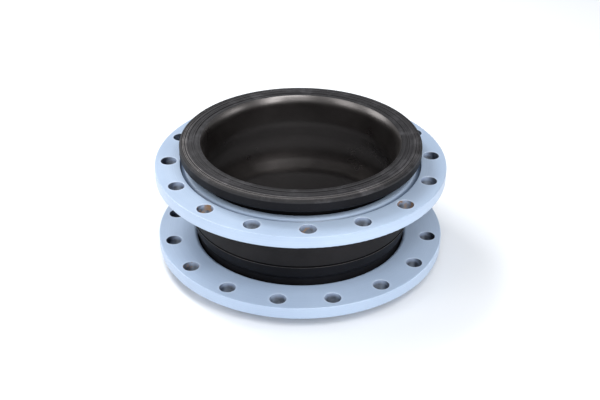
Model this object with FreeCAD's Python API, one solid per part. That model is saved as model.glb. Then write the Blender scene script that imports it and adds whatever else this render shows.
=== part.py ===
"""Single-arch rubber expansion joint, DN 400 and PN 16, with two loose steel flanges.

The joint stands on its lower sealing face. The origin is the centre of that face and
+Z runs up the bore. Every rubber, cord and steel piece is a ring about Z. A ring's
section is drawn as (radius, height) points in millimetres.
"""
import FreeCAD
import Part
import math
import os

# Size of the rubber body
FACE_TO_FACE = 250.0
MIDDLE = FACE_TO_FACE / 2
BORE_R = 192.0
NECK_R = 209.0
ARCH_RISE = 10.2

# The arch: the wall leaves the neck at a corner, turns up at the shoulder and ends in the crown
NECK_CORNER_Z = 61.0
NECK_BEND = 10.0
SHOULDER_RISE = 6.5
SHOULDER_Z = 67.5
SHOULDER_BEND = 14.0
CROWN_CORNER_Z = 95.0
CROWN_BEND = 200.0

# The same on the inside, where the liner is thick at the neck and thin at the crown
BORE_RISE = 16.0
BORE_NECK_Z = 66.0
BORE_NECK_BEND = 60.0
BORE_CROWN_Z = 108.0
BORE_CROWN_BEND = 90.0

# Bell mouth: the bore opens from this height to a sharp edge on the sealing face
MOUTH_R = 198.8
MOUTH_Z = 9.7
MOUTH_BEND = 36.0

# The bead at each end
BEAD_R = 240.0
BEAD_HEIGHT = 25.0
BEAD_BACK_CORNER = 6.0
BEAD_FACE_CORNER = 5.5
BEAD_NECK_CORNER = 6.0

# Layers of the wall, from the outside in
COVER = 2.8
PLY = 1.1
CUSHION = 1.2
BOND = 0.1
COVER_BACK = 2.5
FACE_RING = 5.5
PLY_CORNER = 1.0
APEX_TIP_Z = 38.0

# Sealing face: (middle radius, width) of each moulded groove
SEAL_GROOVES = ((209.3, 3.0), (221.5, 1.8), (229.0, 1.6), (234.6, 1.4))
GROOVE_DEPTH = 1.2

# Belt round the crown
BELT_HALF = 34.0
BELT_PROUD = 1.6

# Steel wire hoop in each bead: one wire with six round it
HOOP_R = 218.0
WIRE_R = 1.7
WIRE_PITCH = 3.6
HOOP_CAVITY_R = 5.6

# Floating flanges, drilled to PN 16
FLANGE_R = 290.0
FLANGE_BORE_R = 212.0
FLANGE_THICKNESS = 24.0
FLANGE_EDGE = 1.5
FLANGE_BACK_EDGE = 7.0
GROOVE_OUTER_R = 240.5
GROOVE_FLOOR_R = 239.3
COLLAR_TOP_R = 231.0
COLLAR_DEPTH = 9.5
COLLAR_BEND = 12.0
COLLAR_BORE_CORNER = 8.0
BOLT_CIRCLE_R = 262.5
BOLT_HOLE_R = 15.5
BOLT_HOLES = 16
HOLE_EDGE = 0.8
LOWER_TURN = 13.6
UPPER_TURN = 3.1
RUNNING_GAP = 0.3

AXIS = FreeCAD.Vector(0, 0, 1)


def at(radius, height):
    return FreeCAD.Vector(radius, 0, height)


def rounded_face(points):
    """Flat face inside a closed run of (radius, height, corner radius) points."""
    count = len(points)
    starts = []
    ends = []
    middles = []
    for n, (r, z, corner) in enumerate(points):
        here = at(r, z)
        back = at(*points[n - 1][:2]) - here
        ahead = at(*points[(n + 1) % count][:2]) - here
        back.normalize()
        ahead.normalize()
        half = back.getAngle(ahead) / 2
        reach = corner / math.tan(half)
        bisector = back + ahead
        if corner:
            bisector.normalize()
        middles.append(here + bisector * (corner / math.sin(half) - corner))
        starts.append(here + back * reach)
        ends.append(here + ahead * reach)
    edges = []
    for n in range(count):
        if points[n][2]:
            edges.append(Part.Arc(starts[n], middles[n], ends[n]).toShape())
        nxt = starts[(n + 1) % count]
        if ends[n].distanceToPoint(nxt) > 1e-4:
            edges.append(Part.LineSegment(ends[n], nxt).toShape())
    return Part.Face(Part.Wire(edges))


def box_face(low_r, low_z, high_r, high_z):
    return rounded_face([(low_r, low_z, 0), (high_r, low_z, 0), (high_r, high_z, 0), (low_r, high_z, 0)])


def disc_face(r, z, radius):
    circle = Part.Circle(at(r, z), FreeCAD.Vector(0, 1, 0), radius)
    return Part.Face(Part.Wire(circle.toShape()))


def ring(face):
    """The section swept once round the bore."""
    return face.revolve(FreeCAD.Vector(0, 0, 0), AXIS, 360)


def single_solid(shape):
    solids = shape.Solids
    if len(solids) != 1:
        raise ValueError(f"expected one solid, got {len(solids)}")
    return solids[0]


def turned_over(shape):
    """The same piece at the other end of the joint."""
    return shape.mirror(at(0, MIDDLE), AXIS)


def mirrored(points):
    """A section line's points, carried on through its mirror image at the upper end."""
    return points + [(r, FACE_TO_FACE - z, corner) for r, z, corner in reversed(points)]


def inset(points, depth):
    """A section line moved inwards by depth; corners that turn outwards grow by it and others shrink."""
    moved = []
    for n in range(1, len(points) - 1):
        here = at(*points[n][:2])
        before = here - at(*points[n - 1][:2])
        after = at(*points[n + 1][:2]) - here
        before.normalize()
        after.normalize()
        side_1 = at(-before.z, before.x)
        side_2 = at(-after.z, after.x)
        here = here + (side_1 + side_2) * (depth / (1 + side_1.dot(side_2)))
        outwards = before.z * after.x > before.x * after.z
        moved.append((here.x, here.z, points[n][2] + (depth if outwards else -depth)))
    return moved


def wall_points(neck_r):
    """Lower half of a line that follows the wall from neck to crown."""
    outer = [
        (NECK_R, 0, 0),
        (NECK_R, NECK_CORNER_Z, NECK_BEND),
        (NECK_R + SHOULDER_RISE, SHOULDER_Z, SHOULDER_BEND),
        (NECK_R + ARCH_RISE, CROWN_CORNER_Z, CROWN_BEND),
        (NECK_R + ARCH_RISE, MIDDLE, 0),
    ]
    return inset(outer, NECK_R - neck_r)


def bore_points():
    """Lower half of the line that the fluid runs along, from the mouth to the crown."""
    return [
        (MOUTH_R, 0, 0),
        (BORE_R, MOUTH_Z, MOUTH_BEND),
        (BORE_R, BORE_NECK_Z, BORE_NECK_BEND),
        (BORE_R + BORE_RISE, BORE_CROWN_Z, BORE_CROWN_BEND),
    ]


def layer(outer, inner):
    """Solid ring between an outer and an inner section line, each given from the lower end."""
    return single_solid(ring(rounded_face(mirrored(outer) + mirrored(inner)[::-1])))


# Radii of the bonded layers at the neck, from the cover inwards
COVER_INNER = NECK_R - COVER
OUTER_PLY_2 = COVER_INNER - BOND
OUTER_PLY_1 = OUTER_PLY_2 - PLY - BOND
CUSHION_OUTER = OUTER_PLY_1 - PLY - BOND
INNER_PLY_2 = CUSHION_OUTER - CUSHION - BOND
INNER_PLY_1 = INNER_PLY_2 - PLY - BOND
LINER_OUTER = INNER_PLY_1 - PLY - BOND

# Heights of the plies that turn outwards under the hoop, and backs of those above it
INNER_PLY_1_Z = FACE_RING + BOND
INNER_PLY_2_Z = INNER_PLY_1_Z + PLY + BOND
FILLER_Z = INNER_PLY_2_Z + PLY + BOND
COVER_BACK_Z = BEAD_HEIGHT - COVER_BACK
OUTER_PLY_2_Z = COVER_BACK_Z - BOND
OUTER_PLY_1_Z = OUTER_PLY_2_Z - PLY - BOND
FILLER_TOP_Z = OUTER_PLY_1_Z - PLY - BOND

# Radii of the same plies round the outside of the bead
COVER_SIDE_R = BEAD_R - COVER_BACK
OUTER_PLY_2_R = COVER_SIDE_R - BOND
OUTER_PLY_1_R = OUTER_PLY_2_R - PLY - BOND
FILLER_R = OUTER_PLY_1_R - PLY - BOND


def bead_line(side_r, start_z, back_z, neck_r):
    """Line up the bead's side, in along its back and up the neck."""
    inset = BEAD_R - side_r
    return [
        (side_r, start_z, 0),
        (side_r, back_z, BEAD_BACK_CORNER - inset),
        (neck_r, back_z, BEAD_NECK_CORNER + NECK_R - neck_r),
    ] + wall_points(neck_r)


def outer_cover():
    outside = bead_line(BEAD_R, FACE_RING + BOND, BEAD_HEIGHT, NECK_R)
    inside = bead_line(COVER_SIDE_R, FACE_RING + BOND, COVER_BACK_Z, COVER_INNER)
    return layer(outside, inside)


def outer_ply(side_r, start_z, back_z, neck_r):
    """Cord ply that follows the cover and ends beside the hoop."""
    outside = bead_line(side_r, start_z, back_z, neck_r)
    inside = bead_line(side_r - PLY, start_z, back_z - PLY, neck_r - PLY)
    return layer(outside, inside)


def inner_ply(neck_r, low_z, end_r):
    """Cord ply that follows the liner and turns out under the hoop."""
    inner_r = neck_r - PLY
    outside = [(end_r, low_z + PLY, 0), (neck_r, low_z + PLY, PLY_CORNER)] + wall_points(neck_r)
    inside = [(end_r, low_z, 0), (inner_r, low_z, PLY_CORNER + PLY)] + wall_points(inner_r)
    return layer(outside, inside)


def cushion_rubber():
    low_z = APEX_TIP_Z + BOND
    outside = [(CUSHION_OUTER, low_z, 0)] + wall_points(CUSHION_OUTER)
    inside = [(CUSHION_OUTER - CUSHION, low_z, 0)] + wall_points(CUSHION_OUTER - CUSHION)
    return layer(outside, inside)


def inner_liner():
    low_z = FACE_RING + BOND
    outside = [(LINER_OUTER, 0, 0)] + wall_points(LINER_OUTER)
    whole = rounded_face(mirrored(outside) + mirrored(bore_points())[::-1])
    return single_solid(ring(whole.common(box_face(0, low_z, NECK_R + ARCH_RISE, FACE_TO_FACE - low_z))))


def crown_belt():
    """Raised belt bonded round the crown, with rounded edges."""
    crown_r = NECK_R + ARCH_RISE
    low_z = MIDDLE - BELT_HALF
    high_z = MIDDLE + BELT_HALF
    blank = rounded_face([
        (NECK_R, low_z, 0),
        (crown_r + BELT_PROUD, low_z, 1.2),
        (crown_r + BELT_PROUD, high_z, 1.2),
        (NECK_R, high_z, 0),
    ])
    clear = NECK_R + BOND
    inside = [(BORE_R, 0, 0), (clear, 0, 0)] + wall_points(clear)
    return single_solid(ring(blank.cut(rounded_face(mirrored(inside)))))


def face_ring():
    """Rubber face of the lower bead: the mouth's edge and the concentric sealing grooves."""
    whole = rounded_face([
        (BEAD_R, 0, BEAD_FACE_CORNER),
        (BEAD_R, BEAD_HEIGHT, 0),
        (BORE_R, BEAD_HEIGHT, 0),
    ] + bore_points()[1::-1])
    face = whole.common(box_face(0, 0, BEAD_R, FACE_RING))
    for middle, width in SEAL_GROOVES:
        half = width / 2
        face = face.cut(box_face(middle - half, -1, middle + half, GROOVE_DEPTH))
    return single_solid(ring(face))


def filler_face():
    """Whole filler section: a block round the hoop with an apex running up the neck."""
    inner_r = CUSHION_OUTER - CUSHION
    back_corner = BEAD_BACK_CORNER - (BEAD_R - FILLER_R)
    block = rounded_face([
        (inner_r, FILLER_Z, PLY_CORNER),
        (FILLER_R, FILLER_Z, 0),
        (FILLER_R, FILLER_TOP_Z, back_corner),
        (CUSHION_OUTER, FILLER_TOP_Z, BEAD_NECK_CORNER + NECK_R - CUSHION_OUTER),
        (CUSHION_OUTER, APEX_TIP_Z, 0),
        (inner_r, APEX_TIP_Z, 0),
    ])
    return block.cut(disc_face(HOOP_R, HOOP_Z, HOOP_CAVITY_R))


HOOP_Z = (FILLER_Z + FILLER_TOP_Z) / 2


def bead_filler(low_r, high_r):
    """The part of the lower filler that lies between two radii."""
    piece = filler_face().common(box_face(low_r, 0, high_r, BEAD_HEIGHT + APEX_TIP_Z))
    return single_solid(ring(piece))


def bead_hoop():
    """Seven separate wires in one bundle."""
    places = [(HOOP_R, HOOP_Z)]
    for n in range(6):
        angle = math.radians(60 * n)
        places.append((HOOP_R + WIRE_PITCH * math.cos(angle), HOOP_Z + WIRE_PITCH * math.sin(angle)))
    return Part.makeCompound([Part.makeTorus(r, WIRE_R, FreeCAD.Vector(0, 0, z)) for r, z in places])


def flange_blank():
    """Undrilled flange with its underside at height 0.

    On the upper side a groove leaves a rounded collar round the bore, level with the face,
    and the back of the bead seats on that collar.
    """
    top = FLANGE_THICKNESS
    floor = top - COLLAR_DEPTH
    section = rounded_face([
        (FLANGE_BORE_R, 0, FLANGE_BACK_EDGE),
        (FLANGE_R, 0, FLANGE_EDGE),
        (FLANGE_R, top, FLANGE_EDGE),
        (GROOVE_OUTER_R, top, 0.5),
        (GROOVE_FLOOR_R, floor, 0.5),
        (COLLAR_TOP_R, top, COLLAR_BEND),
        (FLANGE_BORE_R, top, COLLAR_BORE_CORNER),
    ])
    return ring(section)


def bolt_hole():
    """Cutter for one hole: a straight drill with a small countersink at each face."""
    reach = 1.0
    top = FLANGE_THICKNESS
    wide = BOLT_HOLE_R + HOLE_EDGE
    drill = Part.makeCylinder(BOLT_HOLE_R, top + 2 * reach, FreeCAD.Vector(0, 0, -reach))
    low = Part.makeCone(wide + reach, BOLT_HOLE_R, HOLE_EDGE + reach, FreeCAD.Vector(0, 0, -reach))
    high = Part.makeCone(BOLT_HOLE_R, wide + reach, HOLE_EDGE + reach, FreeCAD.Vector(0, 0, top - HOLE_EDGE))
    return drill.fuse([low, high])


def flange(turn):
    """Drilled flange, its first hole turned from +X by the given angle."""
    holes = []
    for n in range(BOLT_HOLES):
        angle = math.radians(turn + 360 * n / BOLT_HOLES)
        place = FreeCAD.Vector(BOLT_CIRCLE_R * math.cos(angle), BOLT_CIRCLE_R * math.sin(angle), 0)
        holes.append(bolt_hole().translated(place))
    return single_solid(flange_blank().cut(Part.makeCompound(holes)))


def seat_height():
    """Height at which the rounded edge of the upper flange's bore rests on the arch's shoulder."""
    neck, shoulder, crown = [at(*point[:2]) for point in wall_points(NECK_R)]
    back = neck - shoulder
    ahead = crown - shoulder
    back.normalize()
    ahead.normalize()
    bisector = back + ahead
    bisector.normalize()
    centre = shoulder + bisector * (SHOULDER_BEND / math.sin(back.getAngle(ahead) / 2))
    across = FLANGE_BORE_R + FLANGE_BACK_EDGE - centre.x
    apart = SHOULDER_BEND + FLANGE_BACK_EDGE + RUNNING_GAP
    return FACE_TO_FACE - centre.z + math.sqrt(apart ** 2 - across ** 2) - FLANGE_BACK_EDGE


def upper_flange():
    return flange(UPPER_TURN).translated(FreeCAD.Vector(0, 0, seat_height()))


def lower_flange():
    """Collar down, on the back of the bead."""
    underside = BEAD_HEIGHT + RUNNING_GAP
    flipped = flange(LOWER_TURN).mirror(FreeCAD.Vector(0, 0, 0), AXIS)
    return flipped.translated(FreeCAD.Vector(0, 0, underside + FLANGE_THICKNESS))


def make_parts():
    split = BOND / 2
    inner_filler = bead_filler(BORE_R, HOOP_R - split)
    outer_filler = bead_filler(HOOP_R + split, BEAD_R)
    hoop = bead_hoop()
    face = face_ring()
    return {
        "lower_flange": lower_flange(),
        "upper_flange": upper_flange(),
        "outer_cover": outer_cover(),
        "crown_belt": crown_belt(),
        "outer_ply_2": outer_ply(OUTER_PLY_2_R, INNER_PLY_2_Z, OUTER_PLY_2_Z, OUTER_PLY_2),
        "outer_ply_1": outer_ply(OUTER_PLY_1_R, FILLER_Z, OUTER_PLY_1_Z, OUTER_PLY_1),
        "cushion_rubber": cushion_rubber(),
        "inner_ply_2": inner_ply(INNER_PLY_2, INNER_PLY_2_Z, OUTER_PLY_1_R),
        "inner_ply_1": inner_ply(INNER_PLY_1, INNER_PLY_1_Z, OUTER_PLY_2_R),
        "inner_liner": inner_liner(),
        "lower_face_ring": face,
        "upper_face_ring": turned_over(face),
        "lower_bead_filler_inner": inner_filler,
        "upper_bead_filler_inner": turned_over(inner_filler),
        "lower_bead_filler_outer": outer_filler,
        "upper_bead_filler_outer": turned_over(outer_filler),
        "lower_bead_hoop": hoop,
        "upper_bead_hoop": turned_over(hoop),
    }


def main():
    os.makedirs("parts", exist_ok=True)
    for name, shape in make_parts().items():
        shape.exportStep(f"parts/{name}.step")
        box = shape.BoundBox
        print(f"{name}: {len(shape.Solids)} solids, {shape.Volume / 1000:.1f} cm3, "
              f"z {box.ZMin:.2f} to {box.ZMax:.2f}, valid {shape.isValid()}")


main()
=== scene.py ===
"""Looks of the rubber expansion joint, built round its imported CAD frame.

Lengths are in metres, unless a comment says otherwise.
"""
import bpy
import math
import numpy as np
from mathutils import Matrix, Vector


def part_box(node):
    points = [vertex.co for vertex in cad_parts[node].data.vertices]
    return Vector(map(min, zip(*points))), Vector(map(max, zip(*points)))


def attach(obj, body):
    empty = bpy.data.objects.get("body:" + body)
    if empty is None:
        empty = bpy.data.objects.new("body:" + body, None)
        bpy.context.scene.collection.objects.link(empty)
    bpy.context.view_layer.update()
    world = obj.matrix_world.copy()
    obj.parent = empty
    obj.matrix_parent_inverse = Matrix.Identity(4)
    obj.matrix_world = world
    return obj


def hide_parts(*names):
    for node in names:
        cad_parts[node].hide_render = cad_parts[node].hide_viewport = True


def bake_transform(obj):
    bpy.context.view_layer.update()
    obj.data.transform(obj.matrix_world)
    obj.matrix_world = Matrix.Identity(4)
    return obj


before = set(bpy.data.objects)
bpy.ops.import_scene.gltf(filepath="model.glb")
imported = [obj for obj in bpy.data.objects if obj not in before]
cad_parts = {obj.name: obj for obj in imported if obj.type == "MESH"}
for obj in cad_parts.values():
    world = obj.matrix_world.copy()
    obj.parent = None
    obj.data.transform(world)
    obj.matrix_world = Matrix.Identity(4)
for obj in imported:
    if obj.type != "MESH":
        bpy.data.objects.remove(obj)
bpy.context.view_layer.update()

MM = 0.001

# Heights that the frame gives
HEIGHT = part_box("upper_face_ring")[1].z
FACE_RING_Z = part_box("lower_face_ring")[1].z
BELT_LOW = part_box("crown_belt")[0].z
BELT_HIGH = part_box("crown_belt")[1].z

# Outside of the rubber body: bead, neck and arch
BEAD_R = 240.0 * MM
BEAD_HEIGHT = 25.0 * MM
BEAD_BACK_CORNER = 6.0 * MM
BEAD_NECK_CORNER = 6.0 * MM
BEAD_FACE_CORNER = 4.4 * MM
NECK_R = 209.0 * MM
NECK_CORNER_Z = 61.0 * MM
NECK_BEND = 10.0 * MM
SHOULDER_RISE = 6.5 * MM
SHOULDER_Z = 67.5 * MM
SHOULDER_BEND = 14.0 * MM
ARCH_RISE = 10.2 * MM
CROWN_CORNER_Z = 95.0 * MM
CROWN_BEND = 200.0 * MM

# Bore and bell mouth
BORE_R = 192.0 * MM
BORE_RISE = 16.0 * MM
BORE_NECK_Z = 66.0 * MM
BORE_NECK_BEND = 60.0 * MM
BORE_CROWN_Z = 108.0 * MM
BORE_CROWN_BEND = 90.0 * MM
MOUTH_R = 198.8 * MM
MOUTH_Z = 9.7 * MM
MOUTH_BEND = 36.0 * MM

# Sealing face in millimetres: (middle radius, half width, depth) of each moulded groove, then the width
# of its sloping sides and the corner radii at its lips and floor
FACE_GROOVES = (
    (201.6, 0.35, 0.4),
    (209.3, 1.5, 1.2),
    (214.8, 0.35, 0.4),
    (221.5, 0.9, 1.2),
    (229.0, 0.8, 1.2),
    (231.9, 0.4, 0.9),
    (234.4, 0.4, 1.0),
)
FACE_GROOVE_SLOPE = 0.15
FACE_GROOVE_LIP = 0.1
FACE_GROOVE_FLOOR = 0.08

# Layers of the wall, from the outside in, with a bond line between each two; the cushion starts at the
# tip of the bead filler
BOND = 0.1 * MM
COVER = 2.8 * MM
COVER_BACK = 2.5 * MM
PLY = 1.1 * MM
CUSHION = 1.2 * MM
PLY_STEP = PLY + BOND
PLY_CORNER = 1.0 * MM
FILLER_TIP_Z = 38.0 * MM

# Outer radius of each layer at the neck
OUTER_PLY_R = NECK_R - COVER - BOND
CUSHION_R = OUTER_PLY_R - 2 * PLY_STEP
INNER_PLY_R = CUSHION_R - CUSHION - BOND
LINER_R = INNER_PLY_R - 2 * PLY_STEP

# The crown belt, with a moulded groove along each edge: distances are from that edge
BELT_PROUD = 1.6 * MM
BELT_R = NECK_R + ARCH_RISE + BELT_PROUD
BELT_SEAT_START_Z = 30.0 * MM
BELT_GROOVE_R = BELT_R - 1.3 * MM
BELT_GROOVE_MOUTH = (1.2 * MM, 5.0 * MM)
BELT_GROOVE_BED = (1.7 * MM, 4.4 * MM)
BELT_CORNER = 0.3 * MM
# Distances from each belt edge within which its rim gets a painted highlight and its groove painted shade
BELT_RIM_HIGHLIGHT_END = 1.3 * MM
BELT_GROOVE_SHADE_END = 4.6 * MM
PARTING_Z = 126.5 * MM
PARTING_CORNER = 0.25 * MM

# Heights between which the wall takes up each movement
STROKE_ZONE = (30.0 * MM, 94.0 * MM)
OFFSET_ZONE = (94.0 * MM, PARTING_Z)
TILT_ZONE = (PARTING_Z, 178.0 * MM)

# Flanges: the holes, the angle of hole 0 in degrees with the holes that have rusted, which are counted
# from it anticlockwise or, when negative, clockwise, and the groove round the collar
HOLES = 16
HOLE_CIRCLE_R = 262.5 * MM
HOLE_R = 15.5 * MM
UPPER_TURN = 3.1
UPPER_RUSTY = (-6, -4, -2)
LOWER_TURN = 13.6
LOWER_RUSTY = (-7, 3)
COLLAR_R = 231.0 * MM
GROOVE_R = 240.6 * MM

# Mesh fineness
SEGMENTS = 320
HIDDEN_SEGMENTS = 128
FACE_STEP = 1.0 * MM
FINE_STEP = 1.6 * MM
HIDDEN_STEP = 6.0 * MM
SHARP_DEG = 35
FACE_SHARP_DEG = 40


# ---------------------------------------------------------------- section lines

def rounded_line(points, step):
    """Even points along straight runs joined by tangent arcs; each point is (radius, height, corner)."""
    line = []
    for n, (r, z, corner) in enumerate(points):
        here = Vector((r, z))
        if not corner:
            line.append(here)
            continue
        back = (Vector(points[n - 1][:2]) - here).normalized()
        ahead = (Vector(points[n + 1][:2]) - here).normalized()
        half = back.angle(ahead) / 2
        reach = corner / math.tan(half)
        centre = here + (back + ahead).normalized() * corner / math.sin(half)
        start = here + back * reach - centre
        end = here + ahead * reach - centre
        turn = start.angle_signed(end)
        pieces = max(4, math.ceil(abs(turn) * corner / step))
        for k in range(pieces + 1):
            angle = -turn * k / pieces
            spin = Matrix(((math.cos(angle), -math.sin(angle)), (math.sin(angle), math.cos(angle))))
            line.append(centre + spin @ start)
    return spaced(line, step)


def spaced(line, step):
    """The same line with its long straight runs divided."""
    out = []
    for a, b in zip(line, line[1:]):
        parts = max(1, math.ceil((b - a).length / step - 0.01))
        out += [a.lerp(b, k / parts) for k in range(parts)]
    return out + [line[-1]]


def mirrored(points):
    """The points of the lower half, then their mirror images for the upper half."""
    return points + [(r, HEIGHT - z, corner) for r, z, corner in reversed(points)]


def inset(points, depth):
    """A section line moved inwards by depth, its corners kept concentric and its two ends dropped."""
    moved = []
    for before, (r, z, corner), after in zip(points, points[1:], points[2:]):
        here = Vector((r, z))
        arriving = (here - Vector(before[:2])).normalized()
        leaving = (Vector(after[:2]) - here).normalized()
        side_1 = Vector((-arriving.y, arriving.x))
        side_2 = Vector((-leaving.y, leaving.x))
        here += (side_1 + side_2) * (depth / (1 + side_1.dot(side_2)))
        outwards = arriving.y * leaving.x > arriving.x * leaving.y
        moved.append((here.x, here.y, corner + (depth if outwards else -depth)))
    return moved


def wall_points(neck_r):
    """Lower half of a line that follows the wall from neck to crown."""
    return inset([
        (NECK_R, 0, 0),
        (NECK_R, NECK_CORNER_Z, NECK_BEND),
        (NECK_R + SHOULDER_RISE, SHOULDER_Z, SHOULDER_BEND),
        (NECK_R + ARCH_RISE, CROWN_CORNER_Z, CROWN_BEND),
        (NECK_R + ARCH_RISE, HEIGHT / 2, 0),
    ], NECK_R - neck_r)


def bead_points(side_r, start_z, back_z, neck_r):
    """Lower half of a line up the bead's side, in along its back, up the neck and over the arch."""
    return [
        (side_r, start_z, 0),
        (side_r, back_z, BEAD_BACK_CORNER + side_r - BEAD_R),
        (neck_r, back_z, BEAD_NECK_CORNER + NECK_R - neck_r),
    ] + wall_points(neck_r)


def bore_line():
    """From the lower mouth's edge up the bore to the upper mouth's edge."""
    return rounded_line(mirrored([
        (MOUTH_R, 0, 0),
        (BORE_R, MOUTH_Z, MOUTH_BEND),
        (BORE_R, BORE_NECK_Z, BORE_NECK_BEND),
        (BORE_R + BORE_RISE, BORE_CROWN_Z, BORE_CROWN_BEND),
    ]), FINE_STEP)


def belt_edge():
    """The belt's section from its edge inwards, past the groove: (radius, distance, corner)."""
    mouth_near, mouth_far = BELT_GROOVE_MOUTH
    bed_near, bed_far = BELT_GROOVE_BED
    return [
        (BELT_R, 0, 0.4 * MM),
        (BELT_R, mouth_near, BELT_CORNER),
        (BELT_GROOVE_R, bed_near, BELT_CORNER),
        (BELT_GROOVE_R, bed_far, BELT_CORNER),
        (BELT_R, mouth_far, 0.5 * MM),
    ]


def between(line, low, high):
    """The stretch of a wall line from height low to height high; None means from or to its end."""
    out = []
    inside = low is None
    for a, b in zip(line, line[1:]):
        if inside:
            out.append(a)
        if low is not None and not out and a.y < low <= b.y:
            out.append(a.lerp(b, (low - a.y) / (b.y - a.y)))
            inside = True
        if high is not None and inside and a.y < high <= b.y:
            out.append(a.lerp(b, (high - a.y) / (b.y - a.y)))
            return out
    return out + [line[-1]]


def thinned(outline, tiny=1e-7):
    """A closed outline without the points that repeat the one before."""
    out = [outline[0]]
    for p in outline[1:]:
        if (p - out[-1]).length > tiny:
            out.append(p)
    if (out[0] - out[-1]).length <= tiny:
        out.pop()
    return out


# ---------------------------------------------------------------- meshes

def ring_mesh(name, outline, segments=SEGMENTS, sharp=SHARP_DEG):
    """Closed solid: the closed outline of (radius, height) points swept round Z."""
    outline = thinned(outline)
    count = len(outline)
    area = sum(a.x * b.y - b.x * a.y for a, b in zip(outline, outline[1:] + outline[:1]))
    if area < 0:
        outline = outline[::-1]
    angles = np.arange(segments) * 2 * math.pi / segments
    section = np.array([tuple(p) for p in outline])
    verts = np.empty((segments, count, 3))
    verts[:, :, 0] = np.cos(angles)[:, None] * section[:, 0]
    verts[:, :, 1] = np.sin(angles)[:, None] * section[:, 0]
    verts[:, :, 2] = section[:, 1]
    faces = []
    for s in range(segments):
        here, there = s * count, (s + 1) % segments * count
        for n in range(count):
            m = (n + 1) % count
            faces.append((here + n, there + n, there + m, here + m))
    mesh = bpy.data.meshes.new(name)
    mesh.from_pydata(verts.reshape(-1, 3).tolist(), [], faces)
    mesh.polygons.foreach_set("use_smooth", [True] * len(faces))
    mesh.set_sharp_from_angle(angle=math.radians(sharp))
    mesh.update()
    piece = bpy.data.objects.new(name, mesh)
    bpy.context.scene.collection.objects.link(piece)
    return piece


def wall_pieces(name, outer, inner, segments, finish, slot):
    """One layer of the wall in three stretches, cut where the offset zone starts and at the parting line.
    """
    zones = (
        ("lower", None, OFFSET_ZONE[0], "lower_end", "compression_stage", STROKE_ZONE),
        ("middle", OFFSET_ZONE[0], PARTING_Z, "compression_stage", "offset_stage", OFFSET_ZONE),
        ("upper", PARTING_Z, None, "offset_stage", "upper_end", TILT_ZONE),
    )
    for zone, low, high, below, above, (start, end) in zones:
        outline = between(outer, low, high) + between(inner, low, high)[::-1]
        piece = ring_mesh(f"{name}_{zone}", outline, segments)
        dress(piece, slot, finish)
        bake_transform(piece)
        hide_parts(name)


def dress(piece, slot, *finishes):
    """Gives a new piece its finishes, in the order of its material indices."""
    piece.data.materials.clear()
    for finish in finishes:
        piece.data.materials.append(finish)


def dress_node(name, finish):
    """Gives a CAD node a better material and leaves its shape alone."""
    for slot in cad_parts[name].material_slots:
        slot.material = finish


# ---------------------------------------------------------------- materials

def colour(r, g, b):
    """Linear colour from 0..255 display values."""
    shares = (v / 255 for v in (r, g, b))
    linear = (((v + 0.055) / 1.055) ** 2.4 if v > 0.04 else v / 12.92 for v in shares)
    return tuple(linear) + (1.0,)


# Flange paint, the painted light and shade on its hole walls, the painted shade in its collar groove and
# the rust in the holes
PAINT_DARK = colour(158, 176, 200)
PAINT_LIGHT = colour(168, 186, 209)
PAINT_RIDGE = colour(196, 210, 228)
PAINT_SPECK = colour(132, 148, 172)
PAINT_THIN = colour(214, 224, 238)
HOLE_LIT = colour(142, 157, 184)
HOLE_PAINTED_SHADE = colour(12, 18, 32)
GROOVE_PAINTED_SHADE = colour(62, 80, 108)
RUST = colour(134, 104, 76)

# Rubber: the dark and the light tone of each
COVER_TONES = (colour(12, 12, 15), colour(22, 22, 26))
BELT_TONES = (colour(18, 17, 19), colour(32, 30, 31))
# Painted shade for the belt's edge grooves, then a painted highlight for the rims at its edges
BELT_GROOVE_SHADE_TONES = (colour(5, 5, 7), colour(9, 9, 11))
BELT_RIM_HIGHLIGHT_TONES = (colour(44, 42, 42), colour(70, 66, 64))
LINER_TONES = (colour(8, 6, 6), colour(15, 12, 12))
LINER_SHEEN = (1.0, 0.94, 0.92, 1)
CORE_TONES = (colour(30, 28, 27), colour(48, 44, 42))
RUBBER_DUST = colour(120, 116, 112)

# Sealing face, the radii in millimetres of its fine ridges and the angle where their painted highlight
# peaks
FACE_DARK = colour(16, 15, 17)
FACE_LIGHT = colour(46, 45, 48)
FACE_SCUFF = colour(104, 103, 107)
FACE_RIDGE_HIGHLIGHT = colour(158, 153, 152)
FACE_RIDGES = (226.4, 230.6, 233.2)
RIDGE_HIGHLIGHT_ANGLE = -2.1

# Hidden cord and wire
CORD_PITCH = 1.2 * MM
CORD_SLANT = 0.21
CORD_TONES = (colour(70, 58, 44), colour(122, 104, 80))
WIRE_TONES = (colour(150, 146, 138), colour(182, 178, 168))


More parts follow.
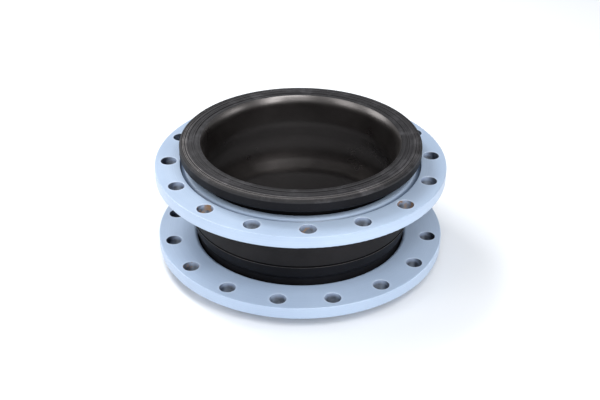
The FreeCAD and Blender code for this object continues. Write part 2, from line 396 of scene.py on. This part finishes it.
class Shader:
    """A material's node tree, with short ways to add to it."""

    def __init__(self, name):
        self.material = bpy.data.materials.new(name)
        self.material.use_nodes = True
        self.tree = self.material.node_tree
        self.surface = self.tree.nodes["Principled BSDF"]
        self.place = self.add("ShaderNodeTexCoord").outputs["Object"]

    def add(self, kind, settings=None, **inputs):
        node = self.tree.nodes.new(kind)
        for key, value in (settings or {}).items():
            setattr(node, key, value)
        for key, value in inputs.items():
            self.feed(node.inputs[key.replace("_", " ")], value)
        return node

    def feed(self, socket, value):
        if isinstance(value, bpy.types.NodeSocket):
            self.tree.links.new(value, socket)
        else:
            socket.default_value = value

    def math(self, operation, a, b=0.0, c=0.0):
        node = self.tree.nodes.new("ShaderNodeMath")
        node.operation = operation
        for socket, value in zip(node.inputs, (a, b, c)):
            self.feed(socket, value)
        return node.outputs[0]

    def times(self, a, b):
        return self.math("MULTIPLY", a, b)

    def gap(self, a, b):
        """Distance between two numbers."""
        return self.math("ABSOLUTE", self.math("SUBTRACT", a, b))

    def length(self, a, b):
        """Length of the vector (a, b)."""
        return self.math("SQRT", self.math("MULTIPLY_ADD", a, a, self.times(b, b)))

    def span(self, value, low, high, to_low=0.0, to_high=1.0):
        """value carried smoothly from low..high to to_low..to_high."""
        node = self.add("ShaderNodeMapRange", {"interpolation_type": "SMOOTHSTEP"})
        for socket, number in zip(node.inputs[:5], (value, low, high, to_low, to_high)):
            self.feed(socket, number)
        return node.outputs[0]

    def fade(self, value, low, high):
        """1 up to low, falling smoothly to 0 at high."""
        return self.span(value, low, high, 1.0, 0.0)

    def noise(self, scale, detail=3.0, rough=0.5, place=None):
        place = place or self.place
        node = self.add("ShaderNodeTexNoise", Vector=place, Scale=scale, Detail=detail, Roughness=rough)
        return node.outputs[0]

    def mix(self, share, a, b):
        node = self.add("ShaderNodeMix", {"data_type": "RGBA"})
        self.feed(node.inputs[0], share)
        self.feed(node.inputs[6], a)
        self.feed(node.inputs[7], b)
        return node.outputs[2]

    def polar(self):
        """(radius, angle in radians, height) of the shaded point."""
        x, y, z = self.add("ShaderNodeSeparateXYZ", Vector=self.place).outputs
        return self.length(x, y), self.math("ARCTAN2", y, x), z

    def rings(self, radius, height, pitch, seed):
        """Fine random rings round Z: a noise read by radius and height only."""
        place = self.add("ShaderNodeCombineXYZ", X=radius, Y=seed, Z=height).outputs[0]
        return self.noise(1 / pitch, detail=2.0, rough=0.6, place=place)

    def bump(self, height, depth, strength=1.0, after=None):
        node = self.add("ShaderNodeBump", Height=height, Distance=depth, Strength=strength)
        if after:
            self.feed(node.inputs["Normal"], after)
        return node.outputs[0]

    def finish(self, tint, rough, normal=None, **fixed):
        self.feed(self.surface.inputs["Base Color"], tint)
        self.feed(self.surface.inputs["Roughness"], rough)
        if normal:
            self.feed(self.surface.inputs["Normal"], normal)
        for key, value in fixed.items():
            self.surface.inputs[key.replace("_", " ")].default_value = value
        return self.material


def flange_paint(name, turn, rusty, top_z, groove_z):
    """Light blue paint over turned steel, with painted shade down its holes and in the groove round its
    collar.

    turn is the angle of hole 0 in degrees, and the holes numbered in rusty show patches of rust. top_z is
    the height of its upper face and groove_z that of its grooved face.
    """
    s = Shader(name)
    radius, angle, height = s.polar()
    cloud = s.noise(5.0, detail=3.0, rough=0.55)
    turned = s.rings(radius, height, pitch=1.5 * MM, seed=0.0)
    speck = s.span(s.noise(420.0, detail=2.0, rough=0.5), 0.66, 0.74)
    paint = s.mix(s.span(cloud, 0.3, 0.7), PAINT_DARK, PAINT_LIGHT)
    paint = s.mix(s.span(turned, 0.35, 0.75, 0.0, 0.22), paint, PAINT_RIDGE)
    paint = s.mix(s.times(speck, 0.25), paint, PAINT_SPECK)
    paint = hole_paint_shade_and_rust(s, paint, radius, angle, height, turn, rusty, top_z)
    paint = groove_painted_shade(s, paint, radius, height, groove_z)
    peel = s.noise(650.0, detail=2.0, rough=0.5)
    normal = s.bump(turned, 0.05 * MM, strength=0.5)
    normal = s.bump(peel, 0.02 * MM, strength=0.4, after=normal)
    rough = s.span(cloud, 0.3, 0.7, 0.34, 0.42)
    return s.finish(paint, rough, normal, Coat_Weight=0.15, Coat_Roughness=0.2)


def hole_paint_shade_and_rust(s, paint, radius, angle, height, turn, rusty, top_z):
    """Thin paint on the rims of the bolt holes, then painted light and shade on their walls and the rust
    on some of them.
    """
    pitch = 2 * math.pi / HOLES
    place = s.math("DIVIDE", s.math("SUBTRACT", angle, math.radians(turn)), pitch)
    number = s.math("ROUND", place)
    across = s.times(s.times(s.math("SUBTRACT", place, number), pitch), HOLE_CIRCLE_R)
    along = s.math("SUBTRACT", radius, HOLE_CIRCLE_R)
    away = s.length(across, along)
    in_hole = s.fade(away, HOLE_R + 0.05 * MM, HOLE_R + 0.4 * MM)
    on_rim = s.fade(away, HOLE_R + 0.5 * MM, HOLE_R + 6 * MM)
    paint = s.mix(s.times(on_rim, 0.18), paint, PAINT_THIN)
    # Painted shade on the hole walls, darkest deep down and on the side away from the axis; painted light
    # on the side towards it
    outer_side_shade = s.span(along, -13 * MM, 9 * MM)
    deep_shade = s.span(height, top_z - 12 * MM, top_z - 1.5 * MM, 0.95, 0.0)
    wall = s.mix(s.math("MAXIMUM", outer_side_shade, deep_shade), HOLE_LIT, HOLE_PAINTED_SHADE)
    cover = s.span(s.noise(40.0, detail=3.0, rough=0.6), 0.35, 0.65, 0.8, 1.0)
    paint = s.mix(s.times(in_hole, cover), paint, wall)
    chosen = 0.0
    for hole in rusty:
        chosen = s.math("MAXIMUM", s.math("COMPARE", number, hole, 0.1), chosen)
    patch = s.span(s.noise(75.0, detail=4.0, rough=0.6), 0.50, 0.62)
    return s.mix(s.times(s.times(in_hole, chosen), patch), paint, RUST)


def groove_painted_shade(s, paint, radius, height, groove_z):
    """Painted shade in the groove round the collar, which is cut into the face at groove_z."""
    depth = s.gap(height, groove_z)
    past_collar = s.span(radius, COLLAR_R - 2 * MM, COLLAR_R + 1 * MM)
    ring = s.times(past_collar, s.fade(radius, GROOVE_R, GROOVE_R + 0.4 * MM))
    near_face = s.fade(depth, 10 * MM, 11 * MM)
    shade = s.times(s.times(ring, near_face), s.span(depth, 1.2 * MM, 3.6 * MM, 0.0, 0.75))
    return s.mix(shade, paint, GROOVE_PAINTED_SHADE)


def rubber(name, dark, light, rough, grain, gloss, dusty=0.1, **fixed):
    """Moulded black rubber with faint flow rings, a soft bloom and a little dust."""
    s = Shader(name)
    radius, _, height = s.polar()
    bloom = s.span(s.noise(7.0, detail=4.0, rough=0.55), 0.35, 0.75)
    dust = s.span(s.noise(260.0, detail=3.0, rough=0.6), 0.62, 0.80, 0.0, dusty)
    tint = s.mix(dust, s.mix(bloom, dark, light), RUBBER_DUST)
    normal = s.bump(s.rings(radius, height, pitch=5.0 * MM, seed=3.0), 0.05 * MM, strength=0.5)
    normal = s.bump(s.noise(400.0, detail=3.0, rough=0.6), grain, strength=0.35, after=normal)
    spread = s.span(s.noise(12.0, detail=4.0, rough=0.55), 0.3, 0.7, rough - 0.04, rough + 0.04)
    return s.finish(tint, spread, normal, Specular_IOR_Level=gloss, **fixed)


def face_rubber():
    """The sealing face's dusty, matt rubber, with painted highlights along its fine outer ridges."""
    s = Shader("face_rubber")
    radius, angle, _ = s.polar()
    streak = s.span(s.rings(radius, 0.0, pitch=1.3 * MM, seed=5.0), 0.4, 0.64)
    scuff = s.span(s.noise(30.0, detail=5.0, rough=0.65), 0.45, 0.75)
    tint = s.mix(streak, FACE_DARK, FACE_LIGHT)
    tint = s.mix(s.times(scuff, 0.3), tint, FACE_SCUFF)
    # Painted highlight on the fine ridges, brightest on the side the light comes from and broken up by
    # the scuffs
    facing = s.math("COSINE", s.math("SUBTRACT", angle, RIDGE_HIGHLIGHT_ANGLE))
    lit_side = s.span(facing, -0.2, 0.9, 0.12, 1.0)
    for ridge in FACE_RIDGES:
        on_ridge = s.fade(s.gap(radius, ridge * MM), 0.25 * MM, 0.6 * MM)
        ridge_highlight = s.times(s.times(on_ridge, s.span(scuff, 0.0, 1.0, 0.5, 1.0)), lit_side)
        tint = s.mix(ridge_highlight, tint, FACE_RIDGE_HIGHLIGHT)
    normal = s.bump(s.rings(radius, 0.0, pitch=0.8 * MM, seed=7.0), 0.08 * MM, strength=0.6)
    normal = s.bump(s.noise(500.0, detail=3.0, rough=0.6), 0.03 * MM, strength=0.35, after=normal)
    return s.finish(tint, s.span(scuff, 0.0, 1.0, 0.62, 0.78), normal, Specular_IOR_Level=0.3)


def cord_fabric():
    """Rubberised nylon cord, its cords laid slantwise."""
    s = Shader("cord_fabric")
    _, angle, height = s.polar()
    climb = s.math("DIVIDE", height, CORD_PITCH)
    cords = s.math("SINE", s.math("MULTIPLY_ADD", s.times(angle, CORD_SLANT), 1 / CORD_PITCH, climb))
    tint = s.mix(s.span(cords, -1.0, 1.0), *CORD_TONES)
    return s.finish(tint, 0.8, s.bump(cords, 0.2 * MM, strength=0.8))


def hoop_wire():
    """Drawn steel wire, with fine draw marks round the hoop."""
    s = Shader("hoop_wire")
    radius, _, height = s.polar()
    drawn = s.rings(radius, height, pitch=0.3 * MM, seed=9.0)
    tint = s.mix(s.span(s.noise(60.0), 0.35, 0.65), *WIRE_TONES)
    rough = s.span(drawn, 0.3, 0.7, 0.28, 0.42)
    return s.finish(tint, rough, s.bump(drawn, 0.02 * MM, strength=0.5), Metallic=1.0)


# ---------------------------------------------------------------- pieces

def face_ring(name, body, top, finish, mouth_finish):
    """Sealing face with its mouth edge and grooves; the drawing is of the lower one."""
    points = [(MOUTH_R, 0, 0)]
    for middle, half, depth in FACE_GROOVES:
        lip = half + FACE_GROOVE_SLOPE
        points += [
            ((middle - lip) * MM, 0, FACE_GROOVE_LIP * MM),
            ((middle - half) * MM, depth * MM, FACE_GROOVE_FLOOR * MM),
            ((middle + half) * MM, depth * MM, FACE_GROOVE_FLOOR * MM),
            ((middle + lip) * MM, 0, FACE_GROOVE_LIP * MM),
        ]
    points += [(BEAD_R, 0, BEAD_FACE_CORNER), (BEAD_R, FACE_RING_Z, 0)]
    line = rounded_line(points, FACE_STEP) + between(bore_line(), None, FACE_RING_Z)[::-1]
    if top:
        line = [Vector((p.x, HEIGHT - p.y)) for p in line]
    piece = ring_mesh(name, line, sharp=FACE_SHARP_DEG)
    dress(piece, "face_rubber", finish, mouth_finish)
    for polygon in piece.data.polygons:
        polygon.material_index = int(polygon.center.xy.length < MOUTH_R)
    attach(piece, body)
    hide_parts(name)


def crown_belt(finish, groove_shade_finish, rim_highlight_finish):
    """The belt round the crown, parted where the mould halves meet."""
    cover = rounded_line(mirrored([(NECK_R, BELT_SEAT_START_Z, 0)] + wall_points(NECK_R)), FINE_STEP)
    halves = (
        ("lower", BELT_LOW, PARTING_Z, "compression_stage", "offset_stage", OFFSET_ZONE),
        ("upper", PARTING_Z, BELT_HIGH, "offset_stage", "upper_end", TILT_ZONE),
    )
    for half, low, high, below, above, (start, end) in halves:
        seat = [Vector((p.x + BOND, p.y)) for p in between(cover, low, high)]
        if half == "lower":
            edge = [(r, low + distance, corner) for r, distance, corner in belt_edge()]
            back = edge + [(BELT_R, high, PARTING_CORNER)]
        else:
            edge = [(r, high - distance, corner) for r, distance, corner in belt_edge()]
            back = [(BELT_R, low, PARTING_CORNER)] + edge[::-1]
        back = rounded_line([(seat[0].x, low, 0)] + back + [(seat[-1].x, high, 0)], FINE_STEP)
        piece = ring_mesh(f"crown_belt_{half}", back + seat[::-1])
        dress(piece, "belt_rubber", finish, groove_shade_finish, rim_highlight_finish)
        # Painted highlight on the rim at each edge, painted shade in the groove beside it
        for polygon in piece.data.polygons:
            depth = min(polygon.center.z - BELT_LOW, BELT_HIGH - polygon.center.z)
            if depth < BELT_RIM_HIGHLIGHT_END:
                polygon.material_index = 2
            elif depth < BELT_GROOVE_SHADE_END:
                polygon.material_index = 1
        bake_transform(piece)
        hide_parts("crown_belt")


def outer_cover():
    """Cover rubber from one face ring round the bead and over the arch to the other."""
    finish = rubber("cover_rubber", *COVER_TONES, rough=0.54, grain=0.03 * MM, gloss=0.12)
    start_z = FACE_RING_Z + BOND
    outer = bead_points(BEAD_R, start_z, BEAD_HEIGHT, NECK_R)
    inner = bead_points(BEAD_R - COVER_BACK, start_z, BEAD_HEIGHT - COVER_BACK, NECK_R - COVER)
    outer = rounded_line(mirrored(outer), FINE_STEP)
    inner = rounded_line(mirrored(inner), HIDDEN_STEP)
    wall_pieces("outer_cover", outer, inner, SEGMENTS, finish, "cover_rubber")


def inner_liner(finish):
    """Tube rubber between the bore and the innermost ply."""
    start_z = FACE_RING_Z + BOND
    outer = rounded_line(mirrored([(LINER_R, start_z, 0)] + wall_points(LINER_R)), HIDDEN_STEP)
    inner = between(bore_line(), start_z, HEIGHT - start_z)
    wall_pieces("inner_liner", outer, inner, SEGMENTS, finish, "liner_rubber")


def rubber_body():
    outer_cover()
    liner = rubber("liner_rubber", *LINER_TONES, rough=0.31, grain=0.002 * MM, gloss=1.0, dusty=0.004,
                   Specular_Tint=LINER_SHEEN, IOR=1.7)
    inner_liner(liner)
    face = face_rubber()
    face_ring("lower_face_ring", "lower_end", False, face, liner)
    face_ring("upper_face_ring", "upper_end", True, face, liner)
    belt = rubber("belt_rubber", *BELT_TONES, rough=0.55, grain=0.04 * MM, gloss=0.18)
    # Belt rubber, then painted shade for its edge grooves and a painted highlight for its rims
    groove = rubber("belt_groove_painted_shade", *BELT_GROOVE_SHADE_TONES, rough=0.7, grain=0.04 * MM, gloss=0.05)
    rim_highlight = rubber("belt_rim_painted_highlight", *BELT_RIM_HIGHLIGHT_TONES, rough=0.5, grain=0.04 * MM, gloss=0.3)
    crown_belt(belt, groove, rim_highlight)
    hidden_layers()


def hidden_layers():
    """The plies, the cushion between them, the fillers and the hoops, none of them seen from outside."""
    cord = cord_fabric()
    core = rubber("core_rubber", *CORE_TONES, rough=0.6, grain=0.02 * MM, gloss=0.3)
    outer_plies(cord)
    inner_plies(cord)
    cushion(core)
    wire = hoop_wire()
    for end in ("lower", "upper"):
        dress_node(f"{end}_bead_hoop", wire)
        for side in ("inner", "outer"):
            dress_node(f"{end}_bead_filler_{side}", core)


def outer_plies(cord):
    """The two plies under the cover, which follow it round the bead."""
    for name, order in (("outer_ply_2", 0), ("outer_ply_1", 1)):
        depth = order * PLY_STEP
        start_z = FACE_RING_Z + BOND + (order + 1) * PLY_STEP
        side_r = BEAD_R - COVER_BACK - BOND - depth
        back_z = BEAD_HEIGHT - COVER_BACK - BOND - depth
        neck_r = OUTER_PLY_R - depth
        outer = bead_points(side_r, start_z, back_z, neck_r)
        outer = rounded_line(mirrored(outer), HIDDEN_STEP)
        inner = bead_points(side_r - PLY, start_z, back_z - PLY, neck_r - PLY)
        inner = rounded_line(mirrored(inner), HIDDEN_STEP)
        wall_pieces(name, outer, inner, HIDDEN_SEGMENTS, cord, "cord_fabric")


def inner_plies(cord):
    """The two plies over the liner, which turn outwards under the hoops."""
    for name, order in (("inner_ply_1", 0), ("inner_ply_2", 1)):
        low_z = FACE_RING_Z + BOND + order * PLY_STEP
        neck_r = INNER_PLY_R - (1 - order) * PLY_STEP
        end_r = BEAD_R - COVER_BACK - BOND - order * PLY_STEP
        outer = [(end_r, low_z + PLY, 0), (neck_r, low_z + PLY, PLY_CORNER)] + wall_points(neck_r)
        inner = [(end_r, low_z, 0), (neck_r - PLY, low_z, PLY_CORNER + PLY)] + wall_points(neck_r - PLY)
        outer = rounded_line(mirrored(outer), HIDDEN_STEP)
        inner = rounded_line(mirrored(inner), HIDDEN_STEP)
        wall_pieces(name, outer, inner, HIDDEN_SEGMENTS, cord, "cord_fabric")


def cushion(core):
    """Thin rubber between the two pairs of plies."""
    outer_r, inner_r = CUSHION_R, CUSHION_R - CUSHION
    low_z = FILLER_TIP_Z + BOND
    outer = rounded_line(mirrored([(outer_r, low_z, 0)] + wall_points(outer_r)), HIDDEN_STEP)
    inner = rounded_line(mirrored([(inner_r, low_z, 0)] + wall_points(inner_r)), HIDDEN_STEP)
    wall_pieces("cushion_rubber", outer, inner, HIDDEN_SEGMENTS, core, "core_rubber")


def flanges():
    """Painted steel; the lower flange is the same plate turned over, so its groove is in its low face."""
    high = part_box("upper_flange")[1].z
    dress_node("upper_flange", flange_paint("upper_flange_paint", UPPER_TURN, UPPER_RUSTY, high, high))
    low, high = (p.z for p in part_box("lower_flange"))
    dress_node("lower_flange", flange_paint("lower_flange_paint", LOWER_TURN, LOWER_RUSTY, high, low))


# ---------------------------------------------------------------- stage

# The floor: its painted glow and its painted shade under the bore, by distance from the axis
FLOOR_SIZE = 14.0
FLOOR_Z = -0.1 * MM
FLOOR_DULL = (0.82, 0.84, 0.87, 1)
FLOOR_PALE = (0.85, 0.87, 0.90, 1)
FLOOR_GLOW = (0.93, 0.96, 1.0, 1)
GLOW_R = (0.25, 0.75)
GLOW_STRENGTH = 0.14
UNDER_BORE_R = (0.200, 0.225)
UNDER_BORE_SHADE_R = (0.05, 0.19)
UNDER_BORE_SHADE_MIDDLE = (0.30, 0.31, 0.32, 1)
UNDER_BORE_SHADE_SIDE = (0.19, 0.19, 0.20, 1)

WORLD_COLOUR = (0.95, 0.97, 1.0, 1)
WORLD_STRENGTH = 0.36

# Soft box lights: name, place, what it points at, size and watts
LIGHTS = (
    ("back_left", (-1.3, 1.3, 2.4), (0, 0, 0.1), (1.2, 1.2), 58),
    ("front_top", (0.5, -1.6, 2.5), (0, 0, 0.2), (1.6, 1.0), 38),
    ("front", (0.1, -2.9, 1.7), (0, 0, 0.25), (1.6, 1.6), 13),
    ("front_right", (1.7, -2.5, 1.6), (0, 0, 0.25), (0.9, 2.0), 36),
    ("left", (-2.4, -1.6, 1.6), (0, 0, 0.25), (1.2, 2.0), 26),
    ("far_left", (-3.0, 0.5, 1.1), (0, 0, 0.25), (1.4, 1.4), 24),
    ("right", (2.6, -0.2, 0.7), (0, 0, 0.2), (1.0, 1.0), 9),
)

# The photo's camera: it looks CAMERA_DOWN degrees below the horizon and rolls by CAMERA_ROLL radians; its
# lens and sensor are in millimetres
CAMERA_PLACE = (-0.0007, -1.861, 1.2292)
CAMERA_DOWN = 31.06
CAMERA_ROLL = 0.0066
CAMERA_LENS = 63.69
CAMERA_SENSOR = 36.0


def floor():
    """Pale floor with painted shade in the bore and a painted glow that whitens it away from the part."""
    bpy.ops.mesh.primitive_plane_add(size=FLOOR_SIZE, location=(0, 0, FLOOR_Z))
    plane = bpy.context.object
    plane.name = "floor"
    s = Shader("floor")
    radius, _, _ = s.polar()
    pale = s.mix(s.span(s.noise(0.8), 0.3, 0.7), FLOOR_DULL, FLOOR_PALE)
    # Painted shade on the floor under the bore, darkest towards its sides
    under = s.mix(s.span(radius, *UNDER_BORE_SHADE_R), UNDER_BORE_SHADE_MIDDLE, UNDER_BORE_SHADE_SIDE)
    tint = s.mix(s.fade(radius, *UNDER_BORE_R), pale, under)
    # Painted glow, none near the part and rising further out
    glow = s.span(radius, *GLOW_R, 0.0, GLOW_STRENGTH)
    s.feed(s.surface.inputs["Emission Strength"], glow)
    plane.data.materials.append(s.finish(tint, 0.6, Emission_Color=FLOOR_GLOW))


def lights():
    world = bpy.data.worlds.new("studio")
    world.use_nodes = True
    background = world.node_tree.nodes["Background"].inputs
    background[0].default_value = WORLD_COLOUR
    background[1].default_value = WORLD_STRENGTH
    bpy.context.scene.world = world
    for name, place, aim, size, watts in LIGHTS:
        data = bpy.data.lights.new(name, "AREA")
        data.shape = "RECTANGLE"
        data.size, data.size_y = size
        data.energy = watts
        lamp = bpy.data.objects.new(name, data)
        lamp.location = place
        lamp.rotation_euler = (Vector(aim) - Vector(place)).to_track_quat("-Z", "Y").to_euler()
        bpy.context.scene.collection.objects.link(lamp)


def camera():
    data = bpy.data.cameras.new("camera")
    data.sensor_width = CAMERA_SENSOR
    data.lens = CAMERA_LENS
    cam = bpy.data.objects.new("camera", data)
    pitch = Matrix.Rotation(math.radians(90 - CAMERA_DOWN), 4, "X")
    roll = Matrix.Rotation(CAMERA_ROLL, 4, "Z")
    cam.matrix_world = Matrix.Translation(CAMERA_PLACE) @ pitch @ roll
    bpy.context.scene.collection.objects.link(cam)
    bpy.context.scene.camera = cam


camera()
floor()
lights()
flanges()
rubber_body()
bpy.context.scene.view_settings.view_transform = "Standard"
